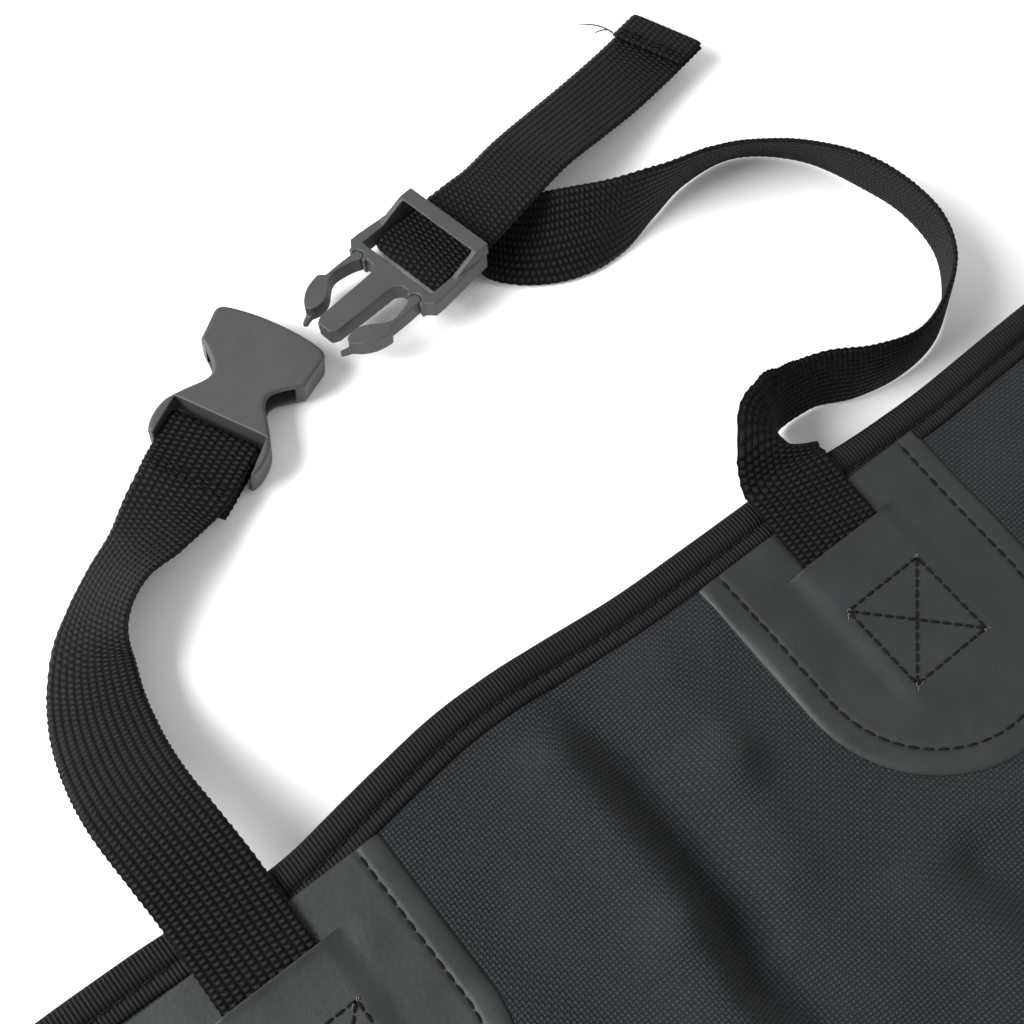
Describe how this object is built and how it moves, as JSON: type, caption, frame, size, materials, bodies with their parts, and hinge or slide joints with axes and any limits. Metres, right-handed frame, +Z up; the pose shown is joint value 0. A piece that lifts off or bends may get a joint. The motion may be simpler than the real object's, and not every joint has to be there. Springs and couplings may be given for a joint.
{
  "type": "garden tool bag",
  "caption": "Collapsed open-top garden tool bag with outer pockets, leather-look patches, and webbing straps that join in a side-release buckle.",
  "frame": {"origin": "middle of the lower panel, on the surface that the bag lies on", "axes": "+X along the rim, +Y from the bag out past the rim to the straps, +Z up"},
  "size_m": [0.42, 0.4619, 0.0732],
  "materials": {
    "canvas": "charcoal basket-weave polyester cloth with a coated back",
    "binding": "black ribbed grosgrain tape",
    "webbing": "black woven webbing",
    "patch": "smooth dark grey imitation leather",
    "buckle": "moulded matt dark grey plastic",
    "thread": "black sewing thread",
    "board": "plain stiffening board"
  },
  "bodies": {
    "bag": {"bottom_panel": "canvas", "base_panel": "canvas", "base_stiffener": "board", "gusset_left": "canvas", "gusset_right": "canvas", "rim_binding_bottom": "binding", "rim_binding_left": "binding", "rim_binding_right": "binding", "base_foot_tape": "binding"},
    "front": {"top_panel": "canvas", "rim_binding_top": "binding", "seam_tape_left": "binding", "seam_tape_right": "binding", "base_seam_tape": "binding", "patch_left": "patch", "patch_right": "patch", "strap_anchor_left": "webbing", "strap_anchor_right": "webbing", "edge_stitch_left": "thread", "edge_stitch_right": "thread", "box_stitch_left": "thread", "box_stitch_right": "thread", "rim_stitch": "thread", "pocket_cloth": "canvas", "pocket_tape": "binding", "pocket_stitch": "thread"},
    "left_strap": {"strap_left": "webbing", "strap_loop_left": "webbing", "loop_tack": "thread"},
    "socket": {"socket_body": "buckle"},
    "right_strap": {"strap_right": "webbing", "strap_wrap": "webbing", "plug_frame": "buckle", "strap_tail": "webbing", "tail_hem": "webbing"},
    "latch_left": {"latch_arm_left": "buckle"},
    "latch_right": {"latch_arm_right": "buckle"}
  },
  "joints": [
    {"name": "mouth_open", "type": "hinge", "parent": "bag", "child": "front", "pos_m": [0, -0.16, 0.0596], "axis": [1, 0, 0], "range_deg": [0, 25]},
    {"name": "left_strap_fold", "type": "hinge", "parent": "front", "child": "left_strap", "pos_m": [-0.084, 0.161, 0.0261], "axis": [1, 0, 0], "range_deg": [0, 150]},
    {"name": "right_strap_fold", "type": "hinge", "parent": "front", "child": "right_strap", "pos_m": [0.084, 0.161, 0.0261], "axis": [1, 0, 0], "range_deg": [0, 150]},
    {"name": "socket_swing", "type": "hinge", "parent": "left_strap", "child": "socket", "pos_m": [-0.0194, 0.257, 0.0062], "axis": [0.4639, -0.8859, 0], "range_deg": [0, 60]},
    {"name": "latch_left_flex", "type": "hinge", "parent": "right_strap", "child": "latch_left", "pos_m": [0.04065, 0.27737, 0.00731], "axis": [-0.0264, 0.2062, 0.9781], "range_deg": [0, 9], "stiffness_Nm_per_rad": 0.6},
    {"name": "latch_right_flex", "type": "hinge", "parent": "right_strap", "child": "latch_right", "pos_m": [0.04339, 0.25602, 0.01189], "axis": [0.0264, -0.2062, -0.9781], "range_deg": [0, 9], "stiffness_Nm_per_rad": 0.6}
  ]
}
